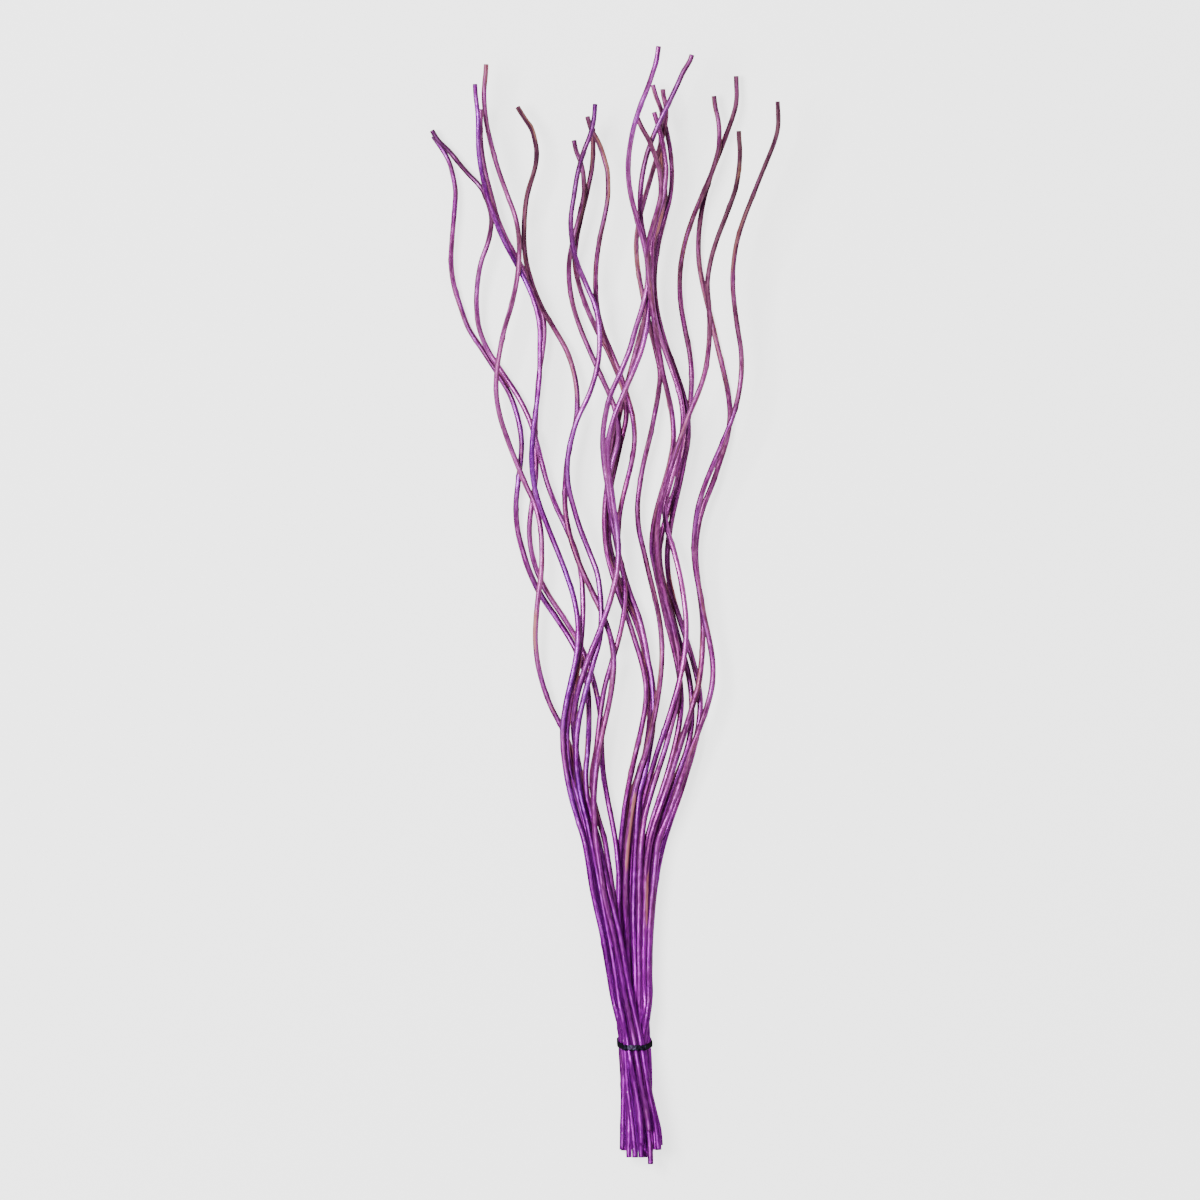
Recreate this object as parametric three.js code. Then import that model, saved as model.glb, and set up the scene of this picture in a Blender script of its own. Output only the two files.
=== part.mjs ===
import * as THREE from 'three';

// A bundle of painted curly willow canes, lying on a table and held by one black tie.
// Millimetres. +Y runs from the cut ends to the tips, +Z is up, the table is z = 0, and the
// tie stands on the table at the origin.

// Canes
const CANE_SIDES = 6;
const CANE_GAP = 0.34;
const TAPER_CURVE = 1.7;
const STATION_STEP = 20;
const TIP_STEP = 10;
const TIP_LENGTH = 60;
const CURL_DEPTH = 15;
const CURL_REACH = 14;
const CURL_START = 60;
const CURL_FULL = 420;
const TREND_STATION = 600;
const TREND_SHARE = 0.6;

// Layers of canes inside the tie
const SLOT_PITCH = 5.7;
const ROW_HEIGHT = 4.95;

// Heights of a cane's centre are set at these distances from the tie
const HEIGHT_STATIONS = [0, 300, 600, 900];
const FLARE_BELOW_TIE = 1.2;
const TAIL_LENGTH = 110;

// Tie
const TIE_WIDTH = 5;
const TIE_THICKNESS = 1.2;
const TIE_CHAMFER = 0.4;
const TIE_FACETS = 44;
const TIE_LEAN = 7;

// Settling of the canes against one another
const SETTLE_PASSES = 420;
const FINAL_PASSES = 140;
const OVERLAP_SHARE = 0.6;
const ROUTE_PULL = 0.12;
const HEIGHT_PULL = 0.02;
const TIE_PULL = 0.5;
const EVENING = 0.5;

// The canes, from the left tip to the right tip. row and slot are the layer and the sideways
// place inside the tie, counted in canes. girth and tip are the radii at the two ends. heights
// are the centre's heights 300, 600 and 900 mm beyond the tie. route is the way seen from above,
// from tip to cut end, without the place inside the tie.
const canes = [
  {
    name: 'stem_01', row: 3, slot: -0.5, girth: 2.6, tip: 2.2, heights: [18, 12, 24],
    route: [
      [-182, 819], [-167, 801], [-152, 783], [-137, 767], [-129, 749], [-128.6, 728], [-137, 702],
      [-141, 680], [-139, 639],
      [-97, 565], [-76, 495], [-48, 423], [-46, 396], [-53, 320], [-58, 295], [-58, 248],
      [-46, 202], [-31, 112], [-22, 76], [-15, 40], [0, -40], [6, -106],
    ],
  },
  {
    name: 'stem_02', row: 4, slot: 1, girth: 2.7, tip: 2.2, heights: [10, 4, 12],
    route: [
      [-181, 814], [-169.5, 797], [-162, 773], [-164, 720], [-164, 688], [-158, 666], [-148, 639],
      [-130, 612],
      [-112, 582], [-104, 558], [-104, 456], [-84, 402], [-67, 378], [-45, 335], [-40.5, 290],
      [-42, 255], [-43.5, 230], [-40.2, 210], [-32, 180], [-27, 155], [-21.4, 130], [-15, 104],
      [-3, 36], [12, -40], [22, -99],
    ],
  },
  {
    name: 'stem_03', row: 3, slot: -1.5, girth: 2.7, tip: 2.1, heights: [24, 34, 56],
    route: [
      [-143, 860], [-140.5, 832], [-139, 792], [-130, 753], [-116, 717], [-99, 686], [-87, 655],
      [-85, 608],
      [-90, 500], [-65, 430], [-56, 405], [-51, 380], [-64, 266], [-55, 213], [-46, 184],
      [-35, 126], [-28, 99], [-20, 55], [-15.5, 29], [-6, -36], [1.5, -106],
    ],
  },
  {
    name: 'stem_04', row: 2, slot: -1, girth: 2.5, tip: 2.2, heights: [8, 10, 22],
    route: [
      [-138, 838], [-138, 810], [-124, 742], [-81, 646], [-86, 594], [-89, 540], [-88, 517],
      [-94, 452], [-90, 428], [-80, 405], [-44, 344], [-32, 302], [-28, 243], [-15, 166],
      [-13.4, 145], [-14, 108], [-7, 36], [0, -40], [0, -99],
    ],
  },
  {
    name: 'stem_05', row: 2, slot: -2, girth: 2.5, tip: 2.2, heights: [14, 26, 44],
    route: [
      [-133, 878], [-135, 850], [-131, 816], [-122, 783], [-104, 727], [-103.5, 702],
      [-108.5, 668], [-116.5, 640],
      [-122, 567], [-115, 544], [-95, 494], [-86, 473], [-83.5, 450], [-83, 429], [-88, 382],
      [-88.5, 355], [-85.5, 333], [-76, 303],
      [-57.2, 262], [-55.5, 241], [-44, 184], [-36, 130], [-29.5, 104], [-23, 76], [-16.5, 40],
      [-5, -40], [-4, -106],
    ],
  },
  {
    name: 'stem_06', row: 4, slot: 0, girth: 2.7, tip: 2.2, heights: [28, 16, 34],
    route: [
      [-105, 840], [-94, 824], [-88, 803], [-98, 749], [-95, 691], [-85, 664], [-58, 614],
      [-52, 590], [-51, 569], [-60, 522], [-61, 470], [-41, 410], [-32, 392], [-19, 351],
      [-22, 306], [-28, 279], [-36, 220], [-27.4, 135], [-16, 81], [-8, 36], [6, -40],
      [14, -82],
    ],
  },
  {
    name: 'stem_07', row: 1, slot: -0.5, girth: 2.6, tip: 2.2, heights: [10, 10, 24],
    route: [
      [-54, 810], [-46, 783], [-45, 760], [-51, 734], [-58, 704], [-58, 680], [-28, 594],
      [-19, 574], [-13, 554], [-22, 508], [-26, 482], [-26, 452], [1, 360], [11, 324], [1.4, 257],
      [-4.3, 232],
      [-12, 176], [-8, 36], [-5, -40], [-5, -94],
    ],
  },
  {
    name: 'stem_08', row: 3, slot: 0.5, girth: 2.5, tip: 2.2, heights: [22, 22, 46],
    route: [
      [-42, 831], [-30, 803], [-23, 774], [-25, 749], [-31, 720], [-34, 698], [-31, 648],
      [-13, 601], [0, 554], [-14, 461], [-14, 439],
      [-9, 417], [-8, 398], [-17, 349], [-24, 327], [-34.4, 259], [-38.4, 230], [-36, 214],
      [-25.2, 173], [-22.2, 151], [-19, 133], [-15.5, 95],
      [-6, 32], [6, -40], [12, -72], [15, -112],
    ],
  },
  {
    name: 'stem_09', row: 0, slot: -1, girth: 2.6, tip: 2.2, heights: [6, 10, 22],
    route: [
      [-37, 821], [-37, 796], [-50, 729], [-53.5, 706], [-49, 678], [-40, 653], [-19, 610],
      [-7, 572],
      [-14, 531], [-23, 482], [-23, 457], [-19.5, 427], [-10, 401], [-1, 382], [14, 324],
      [12, 270], [3, 225],
      [-1, 176], [-4, 112], [-4, 36], [-3, -40], [-4, -99],
    ],
  },
  {
    name: 'stem_10', row: 4, slot: -1, girth: 2.7, tip: 2.2, heights: [24, 36, 60],
    route: [
      [-35, 842], [-38, 819], [-47, 794], [-54.5, 756], [-57, 734], [-52, 702], [-34, 657],
      [-31, 634],
      [-40, 582], [-50, 561], [-60, 508], [-49, 462], [-32, 414], [-30, 392], [-31, 363],
      [-37, 340], [-52, 266], [-51, 238], [-40, 187], [-24, 99], [7, -94],
    ],
  },
  {
    name: 'stem_11', row: 1, slot: 0.5, girth: 2.7, tip: 2.2, heights: [14, 60, 82],
    route: [
      [3, 829], [11, 814], [24, 774], [12, 706], [14, 680], [25, 605], [35, 554], [35, 533],
      [30, 511], [19, 470], [16, 448], [24, 403], [42, 295], [34.2, 254], [25.7, 226], [12, 182],
      [5, 68], [5, 32],
      [7, -40], [11, -106],
    ],
  },
  {
    name: 'stem_12', row: 1, slot: 1.5, girth: 2.7, tip: 2.1, heights: [8, 14, 26],
    route: [
      [17, 860], [23, 842], [34, 770], [22, 716], [18.5, 689], [20, 662], [33, 614], [42, 590],
      [49, 544],
      [45, 520], [30, 438], [59, 290], [43, 226], [28, 182], [14, 68], [14, 32], [12, -40],
      [14, -97],
    ],
  },
  {
    name: 'stem_13', row: 0, slot: 1, girth: 2.6, tip: 2.2, heights: [26, 24, 44],
    route: [
      [18, 835], [23, 818], [29, 781], [16, 717], [17, 662], [44, 554], [32, 498], [28, 484],
      [28, 472],
      [40, 425], [47, 369], [26.4, 276], [20, 258], [8.4, 220], [3, 126], [3, 36], [2, -40],
      [1, -96],
    ],
  },
  {
    name: 'stem_14', row: 2, slot: 0, girth: 2.7, tip: 2.3, heights: [12, 40, 100],
    route: [
      [22, 893], [14, 861], [3, 832], [-3.5, 805], [-5.2, 783], [12, 680], [-1, 632], [-8, 609],
      [-18, 589], [-28, 542],
      [-24, 500], [-4, 403], [4, 382], [13, 340], [17, 317], [11.1, 243], [5.6, 220], [4, 198],
      [0, 112], [2, 36], [5, -40], [8, -99],
    ],
  },
  {
    name: 'stem_15', row: 0, slot: -2, girth: 2.7, tip: 2.2, heights: [5, 4, 8],
    route: [
      [25, 835], [24, 794], [28, 758], [20, 722], [15, 695], [14, 670], [3, 626], [-23, 508],
      [-25, 483], [-13, 412], [3, 374], [14, 313], [12, 266], [-2.5, 218], [-8.5, 162], [-11, 108],
      [-9.3, 36], [-9.5, -40], [-8.5, -100],
    ],
  },
  {
    name: 'stem_16', row: 0, slot: 0, girth: 2.5, tip: 2.2, heights: [20, 10, 30],
    route: [
      [26, 856], [29, 837], [24, 807], [17, 783], [2, 711], [6, 680], [18, 627], [23, 605],
      [18, 560], [5.8, 504], [3.2, 480], [4, 463], [10, 435], [25, 360], [14, 270], [2, 225],
      [-3, 198], [2, -40],
      [1, -105],
    ],
  },
  {
    name: 'stem_17', row: 1, slot: -1.5, girth: 2.7, tip: 2.3, heights: [22, 54, 66],
    route: [
      [52, 886], [45, 872], [39, 859], [28, 836], [17, 812], [8, 781], [7, 731], [13, 704],
      [14, 680], [3, 610], [-6, 590], [-24, 533],
      [-19, 486], [-14, 436], [-31, 367], [-40, 345], [-55, 277], [-51, 252], [-45.5, 225],
      [-40, 198], [-36, 171], [-22, 72], [-17, 32],
      [-7.5, -40], [-9.8, -99],
    ],
  },
  {
    name: 'stem_18', row: 0, slot: 2, girth: 2.7, tip: 2.2, heights: [8, 8, 18],
    route: [
      [72, 850], [76.5, 824], [75.5, 799], [66.5, 772], [56.5, 749], [46.5, 720], [41.5, 691],
      [42, 665], [46.5, 637], [51, 613], [52, 591], [50, 569], [39, 504],
      [23, 439], [37, 374], [51, 317], [50, 270], [34, 225], [20, 182], [13, 104], [9.6, 32],
      [9, -40], [7, -90],
    ],
  },
  {
    name: 'stem_19', row: 2, slot: 2, girth: 2.7, tip: 2.2, heights: [15, 3, 13],
    route: [
      [92, 868], [92, 843], [84, 817], [65, 765], [58, 709], [68, 655], [75, 626], [86, 554],
      [74, 510], [59, 468], [56, 446], [62, 369], [57, 315], [50, 292], [29, 225], [15, 182],
      [9, 104], [8, 32], [11, -40], [14, -101],
    ],
  },
  {
    name: 'stem_20', row: 2, slot: 1, girth: 2.7, tip: 2.2, heights: [20, 64, 104],
    route: [
      [94, 817], [95, 796], [91, 765], [81, 737], [71.5, 711], [66, 682], [68, 648], [63, 598],
      [46, 554],
      [33, 515], [22, 470], [22, 425], [32, 385], [37, 363], [41, 342], [41, 321], [32, 277],
      [16.6, 227], [9.6, 202], [5, 112], [5, 72], [6.2, 22], [20, -99],
    ],
  },
  {
    name: 'stem_21', row: 3, slot: 1.5, girth: 2.7, tip: 2.05, heights: [26, 48, 76],
    route: [
      [129, 844], [129, 819], [121, 794], [112.5, 774], [105.5, 756], [98.5, 738], [94, 724],
      [89, 693], [94, 634], [97, 612], [95, 587],
      [55, 464], [54, 438], [61, 393], [71, 326], [50, 256], [32, 205], [22, 180], [19, 155],
      [13, 68], [13, 32], [12.4, -40], [23.5, -95],
    ],
  },
];

// Places where one cane passes over another: [upper, lower, distance from the tie].
const crossings = [
  ['stem_05', 'stem_01', 606],
  ['stem_05', 'stem_02', 606],
  ['stem_05', 'stem_02', 513],
  ['stem_05', 'stem_04', 486],
  ['stem_05', 'stem_02', 410],
  ['stem_05', 'stem_04', 410],
  ['stem_03', 'stem_05', 482],
  ['stem_03', 'stem_04', 482],
  ['stem_03', 'stem_02', 360],
  ['stem_03', 'stem_04', 360],
  ['stem_10', 'stem_07', 608],
  ['stem_10', 'stem_06', 558],
  ['stem_10', 'stem_06', 396],
  ['stem_14', 'stem_08', 603],
  ['stem_14', 'stem_07', 583],
  ['stem_14', 'stem_16', 733],
  ['stem_14', 'stem_11', 829],
  ['stem_17', 'stem_12', 835],
  ['stem_17', 'stem_13', 835],
  ['stem_17', 'stem_16', 835],
  ['stem_17', 'stem_08', 587],
  ['stem_17', 'stem_09', 587],
  ['stem_17', 'stem_07', 564],
  ['stem_17', 'stem_10', 378],
  ['stem_17', 'stem_06', 378],
  ['stem_11', 'stem_14', 711],
  ['stem_11', 'stem_17', 711],
  ['stem_20', 'stem_18', 576],
  ['stem_20', 'stem_12', 533],
  ['stem_20', 'stem_13', 533],
  ['stem_20', 'stem_11', 533],
  ['stem_21', 'stem_19', 557],
  ['stem_21', 'stem_12', 290],
  ['stem_13', 'stem_18', 472],
  ['stem_13', 'stem_11', 328],
  ['stem_13', 'stem_20', 328],
  ['stem_16', 'stem_14', 283],
  ['stem_16', 'stem_09', 283],
  ['stem_19', 'stem_12', 315],
  ['stem_19', 'stem_18', 315],
];

const lerp = THREE.MathUtils.lerp;
const clamp = THREE.MathUtils.clamp;

// Half a facet of the tie: its lowest facet is flat on the table.
const halfFacet = Math.PI / TIE_FACETS;
const largestGirth = Math.max(...canes.map((cane) => cane.girth));
const topRow = Math.max(...canes.map((cane) => cane.row));
const tieLift = (CANE_GAP + TIE_THICKNESS + largestGirth) * Math.cos(halfFacet) - largestGirth;

// Slope of a curve through points, given as [value, station], at point k.
function slopeAt(points, k) {
  const before = points[Math.max(k - 1, 0)];
  const here = points[k];
  const after = points[Math.min(k + 1, points.length - 1)];
  const reachBefore = here[1] - before[1];
  const reachAfter = after[1] - here[1];
  const riseBefore = reachBefore === 0 ? 0 : (here[0] - before[0]) / reachBefore;
  const riseAfter = reachAfter === 0 ? 0 : (after[0] - here[0]) / reachAfter;
  return (riseBefore * reachAfter + riseAfter * reachBefore) / (reachBefore + reachAfter);
}

// Value at a station of the smooth curve through points, listed by rising station.
function curveAt(points, station) {
  let k = 0;
  while (k < points.length - 2 && points[k + 1][1] < station) k += 1;
  const [start, from] = points[k];
  const [end, to] = points[k + 1];
  const span = to - from;
  const t = (station - from) / span;
  const bend = t * t * (3 - 2 * t);
  const leave = t * (1 - t) * (1 - t) * span * slopeAt(points, k);
  const arrive = t * t * (t - 1) * span * slopeAt(points, k + 1);
  return start + (end - start) * bend + leave + arrive;
}

// Distances from the tie of a cane's stations: both ends, even steps between them, and
// shorter steps along the crooked tip.
function stationsOf(cutEnd, tip) {
  const inner = [];
  const clear = TIP_STEP / 2;
  let y = Math.ceil((cutEnd + clear) / STATION_STEP) * STATION_STEP;
  while (y < tip - clear) {
    inner.push(y);
    y += y < tip - TIP_LENGTH ? STATION_STEP : TIP_STEP;
  }
  return [cutEnd, ...inner, tip];
}

// Height that a cane's centre would take if no other cane were in its way. The curl seen from
// above goes on in height, a quarter of a turn later.
function wantedHeight(cane, route, y) {
  const tieHeight = tieLift + cane.girth + cane.row * ROW_HEIGHT;
  if (y < 0) return tieHeight - (y / TAIL_LENGTH) * cane.row * FLARE_BELOW_TIE;
  const points = [tieHeight, ...cane.heights].map((h, k) => [h, HEIGHT_STATIONS[k]]);
  const tip = route[route.length - 1][1];
  const above = Math.min(y + CURL_REACH, tip);
  const below = y - CURL_REACH;
  const sideways = (curveAt(route, above) - curveAt(route, below)) / (above - below);
  const trend = curveAt(route, TREND_STATION) / TREND_STATION;
  const ramp = THREE.MathUtils.smoothstep(y, CURL_START, CURL_FULL);
  return curveAt(points, y) + CURL_DEPTH * ramp * (sideways - trend * TREND_SHARE);
}

// A cane as a chain of nodes: y is fixed, x keeps to the route, z is free to settle.
function makeChain(cane) {
  const inTie = [cane.slot * SLOT_PITCH, 0];
  const route = [...cane.route, inTie].sort((one, two) => one[1] - two[1]);
  const cutEnd = route[0][1];
  const tip = route[route.length - 1][1];
  const y = stationsOf(cutEnd, tip);
  const wantX = y.map((at) => curveAt(route, at));
  const wantZ = y.map((at) => wantedHeight(cane, route, at));
  const radius = y.map((at) => lerp(cane.girth, cane.tip, clamp(at / tip, 0, 1) ** TAPER_CURVE));
  const floor = y.map((at, k) => radius[k] + (Math.abs(at) < STATION_STEP + 1 ? tieLift : 0));
  return { name: cane.name, y, wantX, wantZ, radius, floor, x: [...wantX], z: [...wantZ] };
}

// Part k of a chain and the share of its upper node at distance y from the tie.
function shareAt(chain, k, y) {
  return (y - chain.y[k]) / (chain.y[k + 1] - chain.y[k]);
}

function lean(chain, k) {
  const run = chain.y[k + 1] - chain.y[k];
  const across = chain.wantX[k + 1] - chain.wantX[k];
  const upward = chain.wantZ[k + 1] - chain.wantZ[k];
  return Math.hypot(run, across, upward) / run;
}

// Stretches where both chains are straight, with the distance that their centres must keep.
function stretchesOf(a, b) {
  const from = Math.max(a.y[0], b.y[0]);
  const to = Math.min(a.y[a.y.length - 1], b.y[b.y.length - 1]);
  const cuts = [...new Set([...a.y, ...b.y])].filter((y) => y >= from && y <= to);
  cuts.sort((one, two) => one - two);
  return cuts.slice(1).map((high, k) => {
    const low = cuts[k];
    const middle = (low + high) / 2;
    const ia = a.y.findIndex((y) => y > middle) - 1;
    const ib = b.y.findIndex((y) => y > middle) - 1;
    const steep = Math.max(lean(a, ia), lean(b, ib));
    const reach = (a.radius[ia] + b.radius[ib] + CANE_GAP) * steep;
    return { a, b, ia, ib, low, high, reach, over: 0 };
  });
}

// Sideways and upward distance from chain b to chain a at one station of a stretch.
function offsetAt(stretch, y, xs = 'x', zs = 'z') {
  const { a, b, ia, ib } = stretch;
  const sa = shareAt(a, ia, y);
  const sb = shareAt(b, ib, y);
  return [
    lerp(a[xs][ia], a[xs][ia + 1], sa) - lerp(b[xs][ib], b[xs][ib + 1], sb),
    lerp(a[zs][ia], a[zs][ia + 1], sa) - lerp(b[zs][ib], b[zs][ib + 1], sb),
  ];
}

// Where two canes overlap as seen from above, one of them stays on top all the way along: the
// one that is known to cross over, or the one in the higher layer of the tie, or else the one
// that is meant to be higher on the whole.
function orderStretches(stretches) {
  let run = [];
  const closeRun = () => {
    if (run.length === 0) return;
    const { a, b } = run[0];
    const low = run[0].low - STATION_STEP;
    const high = run[run.length - 1].high + STATION_STEP;
    const known = crossings.find(([upper, lower, y]) => y >= low && y <= high
      && [a.name, b.name].includes(upper) && [a.name, b.name].includes(lower));
    const atTie = run.filter((s) => s.low <= 0 && s.high >= 0);
    const total = (atTie.length > 0 ? atTie : run).reduce((sum, s) => sum
      + offsetAt(s, clamp(0, s.low, s.high), 'wantX', 'wantZ')[1], 0);
    const side = known ? (known[0] === a.name ? 1 : -1) : Math.sign(total);
    run.forEach((s) => {
      s.over = side;
    });
    run = [];
  };
  stretches.forEach((s) => {
    const first = offsetAt(s, s.low, 'wantX', 'wantZ')[0];
    const second = offsetAt(s, s.high, 'wantX', 'wantZ')[0];
    const nearest = first * second <= 0 ? 0 : Math.min(Math.abs(first), Math.abs(second));
    if (nearest < s.reach * OVERLAP_SHARE) run.push(s);
    else closeRun();
  });
  closeRun();
  return stretches;
}

function moveChain(chain, k, share, dx, dz) {
  const weight = share * share + (1 - share) * (1 - share);
  [[k, 1 - share], [k + 1, share]].forEach(([node, part]) => {
    chain.x[node] += (dx * part) / weight;
    chain.z[node] += (dz * part) / weight;
  });
}

// Parts two canes that come too close along one stretch.
function separate(stretch) {
  const { a, b, ia, ib, low, high, reach, over } = stretch;
  const [x0, z0] = offsetAt(stretch, low);
  const [x1, z1] = offsetAt(stretch, high);
  const dx = x1 - x0;
  const dz = z1 - z0;
  const t = clamp(-(x0 * dx + z0 * dz) / (dx * dx + dz * dz + 1e-9), 0, 1);
  const gapX = x0 + t * dx;
  const gapZ = z0 + t * dz;
  const apart = Math.hypot(gapX, gapZ);
  const wrongSide = over !== 0 && gapZ * over < 0 && Math.abs(gapX) < reach;
  if (apart >= reach && !wrongSide) return;
  let pushX = 0;
  let pushZ = 0;
  if (wrongSide || (over !== 0 && Math.abs(gapX) < reach * OVERLAP_SHARE)) {
    const side = Math.min(Math.abs(gapX), reach);
    pushZ = over * Math.sqrt(reach * reach - side * side) - gapZ;
  } else {
    const short = (reach - apart) / (apart + 1e-9);
    pushX = gapX * short;
    pushZ = gapZ * short;
  }
  const y = lerp(low, high, t);
  const sa = shareAt(a, ia, y);
  const sb = shareAt(b, ib, y);
  moveChain(a, ia, sa, pushX / 2, pushZ / 2);
  moveChain(b, ib, sb, -pushX / 2, -pushZ / 2);
}

// Draws a chain back towards its route and wanted height, and evens out sharp bends.
function relax(chain) {
  const last = chain.y.length - 1;
  [['x', 'wantX', ROUTE_PULL], ['z', 'wantZ', HEIGHT_PULL]].forEach(([key, want, pull]) => {
    const off = chain[key].map((value, k) => value - chain[want][k]);
    chain[key].forEach((value, k) => {
      const even = (off[Math.max(k - 1, 0)] + off[Math.min(k + 1, last)]) / 2;
      const held = chain.y[k] === 0 ? TIE_PULL : pull;
      chain[key][k] += EVENING * (even - off[k]) - held * off[k];
    });
  });
}

function keepOffTable(chain) {
  chain.z.forEach((z, k) => {
    chain.z[k] = Math.max(z, chain.floor[k]);
  });
}

// Lets all canes settle until none touches another.
function settle(chains) {
  const stretches = chains.flatMap((a, k) => chains.slice(k + 1)
    .flatMap((b) => orderStretches(stretchesOf(a, b))));
  for (let pass = 0; pass < SETTLE_PASSES; pass += 1) {
    if (pass < SETTLE_PASSES - FINAL_PASSES) chains.forEach(relax);
    stretches.forEach(separate);
    chains.forEach(keepOffTable);
  }
  return chains;
}

// Closed skin over rings of points that all have the same count, with flat ends.
function skin(rings, closed) {
  const sides = rings[0].length;
  const points = rings.flat();
  const faces = [];
  const bands = closed ? rings.length : rings.length - 1;
  for (let i = 0; i < bands; i += 1) {
    const near = i * sides;
    const far = ((i + 1) % rings.length) * sides;
    for (let k = 0; k < sides; k += 1) {
      const next = (k + 1) % sides;
      faces.push([near + k, near + next, far + next], [near + k, far + next, far + k]);
    }
  }
  if (!closed) {
    const top = (rings.length - 1) * sides;
    for (let k = 1; k < sides - 1; k += 1) {
      faces.push([0, k + 1, k], [top, top + k, top + k + 1]);
    }
  }
  const geometry = new THREE.BufferGeometry();
  geometry.setAttribute('position', new THREE.Float32BufferAttribute(
    points.flatMap((p) => [p.x, p.y, p.z]), 3));
  geometry.setIndex(faces.flat());
  const flat = geometry.toNonIndexed();
  flat.computeVertexNormals();
  return flat;
}

// A tapering cane round its chain. One edge of every ring points down.
function caneGeometry(chain) {
  const nodes = chain.y.map((y, k) => new THREE.Vector3(chain.x[k], y, chain.z[k]));
  const last = nodes.length - 1;
  const rings = nodes.map((node, k) => {
    const before = node.clone().sub(nodes[Math.max(k - 1, 0)]).normalize();
    const after = nodes[Math.min(k + 1, last)].clone().sub(node).normalize();
    const along = before.add(after).normalize();
    const side = new THREE.Vector3(0, 0, 1).cross(along).normalize();
    const up = along.clone().cross(side);
    return Array.from({ length: CANE_SIDES }, (_, s) => {
      const turn = (s / CANE_SIDES) * 2 * Math.PI - Math.PI / 2;
      return node.clone()
        .addScaledVector(side, Math.cos(turn) * chain.radius[k])
        .addScaledVector(up, Math.sin(turn) * chain.radius[k]);
    });
  });
  return skin(rings, false);
}

// Place of a chain's centre at distance y from the tie.
function centreAt(chain, y) {
  const k = Math.max(chain.y.findIndex((at) => at > y) - 1, 0);
  const share = shareAt(chain, k, y);
  return [
    lerp(chain.x[k], chain.x[k + 1], share),
    lerp(chain.z[k], chain.z[k + 1], share),
    lerp(chain.radius[k], chain.radius[k + 1], share),
  ];
}

// The tie follows the outline of the canes inside it. Its front leans towards the cut ends.
function tieGeometry(chains) {
  const height = topRow * ROW_HEIGHT + 2 * largestGirth;
  const half = TIE_WIDTH / 2;
  const flat = half - TIE_CHAMFER;
  const profile = [
    [-half, 0], [-half, TIE_THICKNESS - TIE_CHAMFER], [-flat, TIE_THICKNESS],
    [flat, TIE_THICKNESS], [half, TIE_THICKNESS - TIE_CHAMFER], [half, 0],
  ];
  const rings = Array.from({ length: TIE_FACETS }, (_, k) => {
    const turn = (2 * k + 1) * halfFacet - Math.PI / 2;
    const outX = Math.cos(turn);
    const outZ = Math.sin(turn);
    const roughShift = -TIE_LEAN * clamp((1 + outZ) / 2, 0, 1);
    let best = { reach: -Infinity, x: 0, z: 0 };
    chains.forEach((chain) => {
      [-half, 0, half].forEach((dy) => {
        const [x, z, radius] = centreAt(chain, roughShift + dy);
        const reach = x * outX + z * outZ + radius;
        if (reach > best.reach) best = { reach, x: x + radius * outX, z: z + radius * outZ };
      });
    });
    const shift = -TIE_LEAN * clamp((best.z - tieLift) / height, 0, 1);
    return profile.map(([along, out]) => new THREE.Vector3(
      best.x + (CANE_GAP + out) * outX,
      shift + along,
      best.z + (CANE_GAP + out) * outZ,
    ));
  });
  return skin(rings, true);
}

function makeMaterial(name, color, roughness) {
  return new THREE.MeshStandardMaterial({ name, color, roughness, metalness: 0 });
}

function makeCane(chain) {
  const cane = new THREE.Mesh(caneGeometry(chain), makeMaterial('painted_cane', 0x9a55ae, 0.45));
  cane.name = chain.name;
  return cane;
}

function makeTie(chains) {
  const tie = new THREE.Mesh(tieGeometry(chains), makeMaterial('tie_black', 0x101014, 0.25));
  tie.name = 'tie';
  return tie;
}

const settled = settle(canes.map(makeChain));
const bundle = new THREE.Group();
bundle.name = 'curly_willow_bundle';
settled.forEach((chain) => bundle.add(makeCane(chain)));
bundle.add(makeTie(settled));

export default bundle;
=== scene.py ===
import math
import random
import bmesh
import bpy
from mathutils import Matrix, Vector, noise
from mathutils.bvhtree import BVHTree


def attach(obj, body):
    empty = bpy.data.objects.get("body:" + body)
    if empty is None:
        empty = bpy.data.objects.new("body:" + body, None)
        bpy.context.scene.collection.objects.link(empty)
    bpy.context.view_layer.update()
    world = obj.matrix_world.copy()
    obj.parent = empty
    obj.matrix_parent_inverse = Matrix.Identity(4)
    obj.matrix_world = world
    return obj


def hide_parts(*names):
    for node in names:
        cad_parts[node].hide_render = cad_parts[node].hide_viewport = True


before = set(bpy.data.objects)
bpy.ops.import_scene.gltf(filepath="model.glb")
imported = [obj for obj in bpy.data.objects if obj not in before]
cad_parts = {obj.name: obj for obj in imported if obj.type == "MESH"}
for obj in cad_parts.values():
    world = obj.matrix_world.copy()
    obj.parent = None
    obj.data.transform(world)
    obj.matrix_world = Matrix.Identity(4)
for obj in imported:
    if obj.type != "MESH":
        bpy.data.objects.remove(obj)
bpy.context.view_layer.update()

# A tied bundle of painted curly willow canes. Metres, +Y towards the tips, the table at z = 0.


def newPiece(name, bm):
    mesh = bpy.data.meshes.new(name)
    bm.to_mesh(mesh)
    bm.free()
    piece = bpy.data.objects.new(name, mesh)
    bpy.context.scene.collection.objects.link(piece)
    return piece


def smoothPiece(piece):
    for face in piece.data.polygons:
        face.use_smooth = True


def newMaterial(name):
    material = bpy.data.materials.new(name)
    material.use_nodes = True
    tree = material.node_tree
    return material, tree, tree.nodes["Principled BSDF"]


def node(tree, kind, place=(0, 0), **values):
    made = tree.nodes.new(kind)
    made.location = place
    for key, value in values.items():
        setattr(made, key, value)
    return made


caneSides = 6  # corners in each ring of a cane's solid
weldReach = 0.00002  # a solid's loose corners closer than this are one
rangeSockets = ("From Min", "From Max", "To Min", "To Max")


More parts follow.
